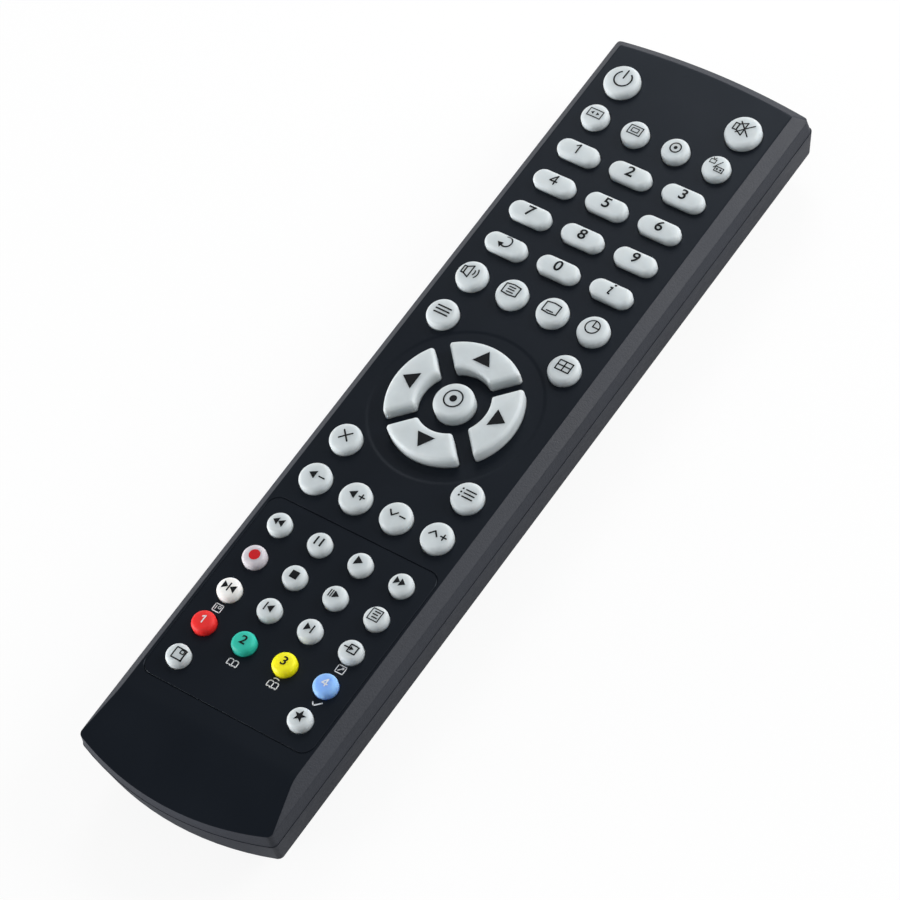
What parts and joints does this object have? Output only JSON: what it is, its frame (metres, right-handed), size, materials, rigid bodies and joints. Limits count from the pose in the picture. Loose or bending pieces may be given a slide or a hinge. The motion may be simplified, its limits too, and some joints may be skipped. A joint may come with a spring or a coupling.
{
  "type": "personal video recorder remote control",
  "caption": "Slim hand-held remote control: round and oval silicone keys, a four-way direction ring, a framed recorder keypad and a sliding battery cover.",
  "frame": {"origin": "centre of the footprint, on the surface that the sole rests on", "axes": "+Z out of the keyed face, +Y along the length toward the infrared end, +X to the right with the keyed face up and the infrared end away from the user"},
  "size_m": [0.0518, 0.21, 0.0226],
  "materials": {
    "upper_case": "satin dark blue-grey moulded plastic, fine grain on the bevel",
    "lower_case": "fine-grained dark grey moulded plastic",
    "battery_cover": "fine-grained dark grey moulded plastic",
    "keypad_mat": "matt silicone rubber",
    "circuit_board": "satin solder mask",
    "battery_contacts": "plated spring steel",
    "batteries": "smooth plain jacket",
    "grey_key": "matt silicone rubber, pale green-grey",
    "white_key": "matt silicone rubber, off-white",
    "record_key": "matt silicone rubber, pale grey with a red mark",
    "red_key": "matt silicone rubber",
    "green_key": "matt silicone rubber",
    "yellow_key": "matt silicone rubber",
    "blue_key": "matt silicone rubber"
  },
  "bodies": {
    "case": {"batteries": "batteries", "battery_contacts": "battery_contacts", "circuit_board": "circuit_board", "keypad_mat": "keypad_mat", "lower_case": "lower_case", "upper_case": "upper_case"},
    "cover": {"battery_cover": "battery_cover"},
    "key_0_body": {"key_0": "grey_key"},
    "key_1_body": {"key_1": "grey_key"},
    "key_2_body": {"key_2": "grey_key"},
    "key_3_body": {"key_3": "grey_key"},
    "key_4_body": {"key_4": "grey_key"},
    "key_5_body": {"key_5": "grey_key"},
    "key_6_body": {"key_6": "grey_key"},
    "key_7_body": {"key_7": "grey_key"},
    "key_8_body": {"key_8": "grey_key"},
    "key_9_body": {"key_9": "grey_key"},
    "key_audio_body": {"key_audio": "grey_key"},
    "key_back_body": {"key_back": "grey_key"},
    "key_blue_body": {"key_blue": "blue_key"},
    "key_bookmark_body": {"key_bookmark": "grey_key"},
    "key_channel_down_body": {"key_channel_down": "grey_key"},
    "key_channel_up_body": {"key_channel_up": "grey_key"},
    "key_down_body": {"key_down": "grey_key"},
    "key_exit_body": {"key_exit": "grey_key"},
    "key_favourite_body": {"key_favourite": "grey_key"},
    "key_forward_body": {"key_forward": "grey_key"},
    "key_green_body": {"key_green": "green_key"},
    "key_guide_body": {"key_guide": "grey_key"},
    "key_info_body": {"key_info": "grey_key"},
    "key_input_body": {"key_input": "grey_key"},
    "key_jump_body": {"key_jump": "white_key"},
    "key_left_body": {"key_left": "grey_key"},
    "key_list_body": {"key_list": "grey_key"},
    "key_menu_body": {"key_menu": "grey_key"},
    "key_mode_1_body": {"key_mode_1": "grey_key"},
    "key_mode_2_body": {"key_mode_2": "grey_key"},
    "key_mode_3_body": {"key_mode_3": "grey_key"},
    "key_mode_4_body": {"key_mode_4": "grey_key"},
    "key_mute_body": {"key_mute": "grey_key"},
    "key_next_body": {"key_next": "grey_key"},
    "key_ok_body": {"key_ok": "grey_key"},
    "key_pause_body": {"key_pause": "grey_key"},
    "key_picture_body": {"key_picture": "grey_key"},
    "key_play_body": {"key_play": "grey_key"},
    "key_power_body": {"key_power": "grey_key"},
    "key_previous_body": {"key_previous": "grey_key"},
    "key_record_body": {"key_record": "record_key"},
    "key_red_body": {"key_red": "red_key"},
    "key_rewind_body": {"key_rewind": "grey_key"},
    "key_right_body": {"key_right": "grey_key"},
    "key_slow_body": {"key_slow": "grey_key"},
    "key_stop_body": {"key_stop": "grey_key"},
    "key_subtitle_body": {"key_subtitle": "grey_key"},
    "key_text_body": {"key_text": "grey_key"},
    "key_timer_body": {"key_timer": "grey_key"},
    "key_up_body": {"key_up": "grey_key"},
    "key_volume_down_body": {"key_volume_down": "grey_key"},
    "key_volume_up_body": {"key_volume_up": "grey_key"},
    "key_yellow_body": {"key_yellow": "yellow_key"}
  },
  "joints": [
    {"name": "battery_cover_slide", "type": "slide", "parent": "case", "child": "cover", "axis": [0, -1, 0], "range_m": [0, 0.05]},
    {"name": "0_press", "type": "slide", "parent": "case", "child": "key_0_body", "axis": [0, 0, -1], "range_m": [0, 0.0008], "stiffness_N_per_m": 1000},
    {"name": "1_press", "type": "slide", "parent": "case", "child": "key_1_body", "axis": [0, 0, -1], "range_m": [0, 0.0008], "stiffness_N_per_m": 1000},
    {"name": "2_press", "type": "slide", "parent": "case", "child": "key_2_body", "axis": [0, 0, -1], "range_m": [0, 0.0008], "stiffness_N_per_m": 1000},
    {"name": "3_press", "type": "slide", "parent": "case", "child": "key_3_body", "axis": [0, 0, -1], "range_m": [0, 0.0008], "stiffness_N_per_m": 1000},
    {"name": "4_press", "type": "slide", "parent": "case", "child": "key_4_body", "axis": [0, 0, -1], "range_m": [0, 0.0008], "stiffness_N_per_m": 1000},
    {"name": "5_press", "type": "slide", "parent": "case", "child": "key_5_body", "axis": [0, 0, -1], "range_m": [0, 0.0008], "stiffness_N_per_m": 1000},
    {"name": "6_press", "type": "slide", "parent": "case", "child": "key_6_body", "axis": [0, 0, -1], "range_m": [0, 0.0008], "stiffness_N_per_m": 1000},
    {"name": "7_press", "type": "slide", "parent": "case", "child": "key_7_body", "axis": [0, 0, -1], "range_m": [0, 0.0008], "stiffness_N_per_m": 1000},
    {"name": "8_press", "type": "slide", "parent": "case", "child": "key_8_body", "axis": [0, 0, -1], "range_m": [0, 0.0008], "stiffness_N_per_m": 1000},
    {"name": "9_press", "type": "slide", "parent": "case", "child": "key_9_body", "axis": [0, 0, -1], "range_m": [0, 0.0008], "stiffness_N_per_m": 1000},
    {"name": "audio_press", "type": "slide", "parent": "case", "child": "key_audio_body", "axis": [0, 0, -1], "range_m": [0, 0.0008], "stiffness_N_per_m": 1000},
    {"name": "back_press", "type": "slide", "parent": "case", "child": "key_back_body", "axis": [0, 0, -1], "range_m": [0, 0.0008], "stiffness_N_per_m": 1000},
    {"name": "blue_press", "type": "slide", "parent": "case", "child": "key_blue_body", "axis": [0, 0, -1], "range_m": [0, 0.0008], "stiffness_N_per_m": 1000},
    {"name": "bookmark_press", "type": "slide", "parent": "case", "child": "key_bookmark_body", "axis": [0, 0, -1], "range_m": [0, 0.0008], "stiffness_N_per_m": 1000},
    {"name": "channel_down_press", "type": "slide", "parent": "case", "child": "key_channel_down_body", "axis": [0, 0, -1], "range_m": [0, 0.0008], "stiffness_N_per_m": 1000},
    {"name": "channel_up_press", "type": "slide", "parent": "case", "child": "key_channel_up_body", "axis": [0, 0, -1], "range_m": [0, 0.0008], "stiffness_N_per_m": 1000},
    {"name": "down_press", "type": "slide", "parent": "case", "child": "key_down_body", "axis": [0, 0, -1], "range_m": [0, 0.0008], "stiffness_N_per_m": 1200},
    {"name": "exit_press", "type": "slide", "parent": "case", "child": "key_exit_body", "axis": [0, 0, -1], "range_m": [0, 0.0008], "stiffness_N_per_m": 1000},
    {"name": "favourite_press", "type": "slide", "parent": "case", "child": "key_favourite_body", "axis": [0, 0, -1], "range_m": [0, 0.0008], "stiffness_N_per_m": 1000},
    {"name": "forward_press", "type": "slide", "parent": "case", "child": "key_forward_body", "axis": [0, 0, -1], "range_m": [0, 0.0008], "stiffness_N_per_m": 1000},
    {"name": "green_press", "type": "slide", "parent": "case", "child": "key_green_body", "axis": [0, 0, -1], "range_m": [0, 0.0008], "stiffness_N_per_m": 1000},
    {"name": "guide_press", "type": "slide", "parent": "case", "child": "key_guide_body", "axis": [0, 0, -1], "range_m": [0, 0.0008], "stiffness_N_per_m": 1000},
    {"name": "info_press", "type": "slide", "parent": "case", "child": "key_info_body", "axis": [0, 0, -1], "range_m": [0, 0.0008], "stiffness_N_per_m": 1000},
    {"name": "input_press", "type": "slide", "parent": "case", "child": "key_input_body", "axis": [0, 0, -1], "range_m": [0, 0.0008], "stiffness_N_per_m": 1000},
    {"name": "jump_press", "type": "slide", "parent": "case", "child": "key_jump_body", "axis": [0, 0, -1], "range_m": [0, 0.0008], "stiffness_N_per_m": 1000},
    {"name": "left_press", "type": "slide", "parent": "case", "child": "key_left_body", "axis": [0, 0, -1], "range_m": [0, 0.0008], "stiffness_N_per_m": 1200},
    {"name": "list_press", "type": "slide", "parent": "case", "child": "key_list_body", "axis": [0, 0, -1], "range_m": [0, 0.0008], "stiffness_N_per_m": 1000},
    {"name": "menu_press", "type": "slide", "parent": "case", "child": "key_menu_body", "axis": [0, 0, -1], "range_m": [0, 0.0008], "stiffness_N_per_m": 1000},
    {"name": "mode_1_press", "type": "slide", "parent": "case", "child": "key_mode_1_body", "axis": [0, 0, -1], "range_m": [0, 0.0008], "stiffness_N_per_m": 1000},
    {"name": "mode_2_press", "type": "slide", "parent": "case", "child": "key_mode_2_body", "axis": [0, 0, -1], "range_m": [0, 0.0008], "stiffness_N_per_m": 1000},
    {"name": "mode_3_press", "type": "slide", "parent": "case", "child": "key_mode_3_body", "axis": [0, 0, -1], "range_m": [0, 0.0008], "stiffness_N_per_m": 1000},
    {"name": "mode_4_press", "type": "slide", "parent": "case", "child": "key_mode_4_body", "axis": [0, 0, -1], "range_m": [0, 0.0008], "stiffness_N_per_m": 1000},
    {"name": "mute_press", "type": "slide", "parent": "case", "child": "key_mute_body", "axis": [0, 0, -1], "range_m": [0, 0.0008], "stiffness_N_per_m": 1000},
    {"name": "next_press", "type": "slide", "parent": "case", "child": "key_next_body", "axis": [0, 0, -1], "range_m": [0, 0.0008], "stiffness_N_per_m": 1000},
    {"name": "ok_press", "type": "slide", "parent": "case", "child": "key_ok_body", "axis": [0, 0, -1], "range_m": [0, 0.0008], "stiffness_N_per_m": 1000},
    {"name": "pause_press", "type": "slide", "parent": "case", "child": "key_pause_body", "axis": [0, 0, -1], "range_m": [0, 0.0008], "stiffness_N_per_m": 1000},
    {"name": "picture_press", "type": "slide", "parent": "case", "child": "key_picture_body", "axis": [0, 0, -1], "range_m": [0, 0.0008], "stiffness_N_per_m": 1000},
    {"name": "play_press", "type": "slide", "parent": "case", "child": "key_play_body", "axis": [0, 0, -1], "range_m": [0, 0.0008], "stiffness_N_per_m": 1000},
    {"name": "power_press", "type": "slide", "parent": "case", "child": "key_power_body", "axis": [0, 0, -1], "range_m": [0, 0.0008], "stiffness_N_per_m": 1000},
    {"name": "previous_press", "type": "slide", "parent": "case", "child": "key_previous_body", "axis": [0, 0, -1], "range_m": [0, 0.0008], "stiffness_N_per_m": 1000},
    {"name": "record_press", "type": "slide", "parent": "case", "child": "key_record_body", "axis": [0, 0, -1], "range_m": [0, 0.0008], "stiffness_N_per_m": 1000},
    {"name": "red_press", "type": "slide", "parent": "case", "child": "key_red_body", "axis": [0, 0, -1], "range_m": [0, 0.0008], "stiffness_N_per_m": 1000},
    {"name": "rewind_press", "type": "slide", "parent": "case", "child": "key_rewind_body", "axis": [0, 0, -1], "range_m": [0, 0.0008], "stiffness_N_per_m": 1000},
    {"name": "right_press", "type": "slide", "parent": "case", "child": "key_right_body", "axis": [0, 0, -1], "range_m": [0, 0.0008], "stiffness_N_per_m": 1200},
    {"name": "slow_press", "type": "slide", "parent": "case", "child": "key_slow_body", "axis": [0, 0, -1], "range_m": [0, 0.0008], "stiffness_N_per_m": 1000},
    {"name": "stop_press", "type": "slide", "parent": "case", "child": "key_stop_body", "axis": [0, 0, -1], "range_m": [0, 0.0008], "stiffness_N_per_m": 1000},
    {"name": "subtitle_press", "type": "slide", "parent": "case", "child": "key_subtitle_body", "axis": [0, 0, -1], "range_m": [0, 0.0008], "stiffness_N_per_m": 1000},
    {"name": "text_press", "type": "slide", "parent": "case", "child": "key_text_body", "axis": [0, 0, -1], "range_m": [0, 0.0008], "stiffness_N_per_m": 1000},
    {"name": "timer_press", "type": "slide", "parent": "case", "child": "key_timer_body", "axis": [0, 0, -1], "range_m": [0, 0.0008], "stiffness_N_per_m": 1000},
    {"name": "up_press", "type": "slide", "parent": "case", "child": "key_up_body", "axis": [0, 0, -1], "range_m": [0, 0.0008], "stiffness_N_per_m": 1200},
    {"name": "volume_down_press", "type": "slide", "parent": "case", "child": "key_volume_down_body", "axis": [0, 0, -1], "range_m": [0, 0.0008], "stiffness_N_per_m": 1000},
    {"name": "volume_up_press", "type": "slide", "parent": "case", "child": "key_volume_up_body", "axis": [0, 0, -1], "range_m": [0, 0.0008], "stiffness_N_per_m": 1000},
    {"name": "yellow_press", "type": "slide", "parent": "case", "child": "key_yellow_body", "axis": [0, 0, -1], "range_m": [0, 0.0008], "stiffness_N_per_m": 1000}
  ]
}
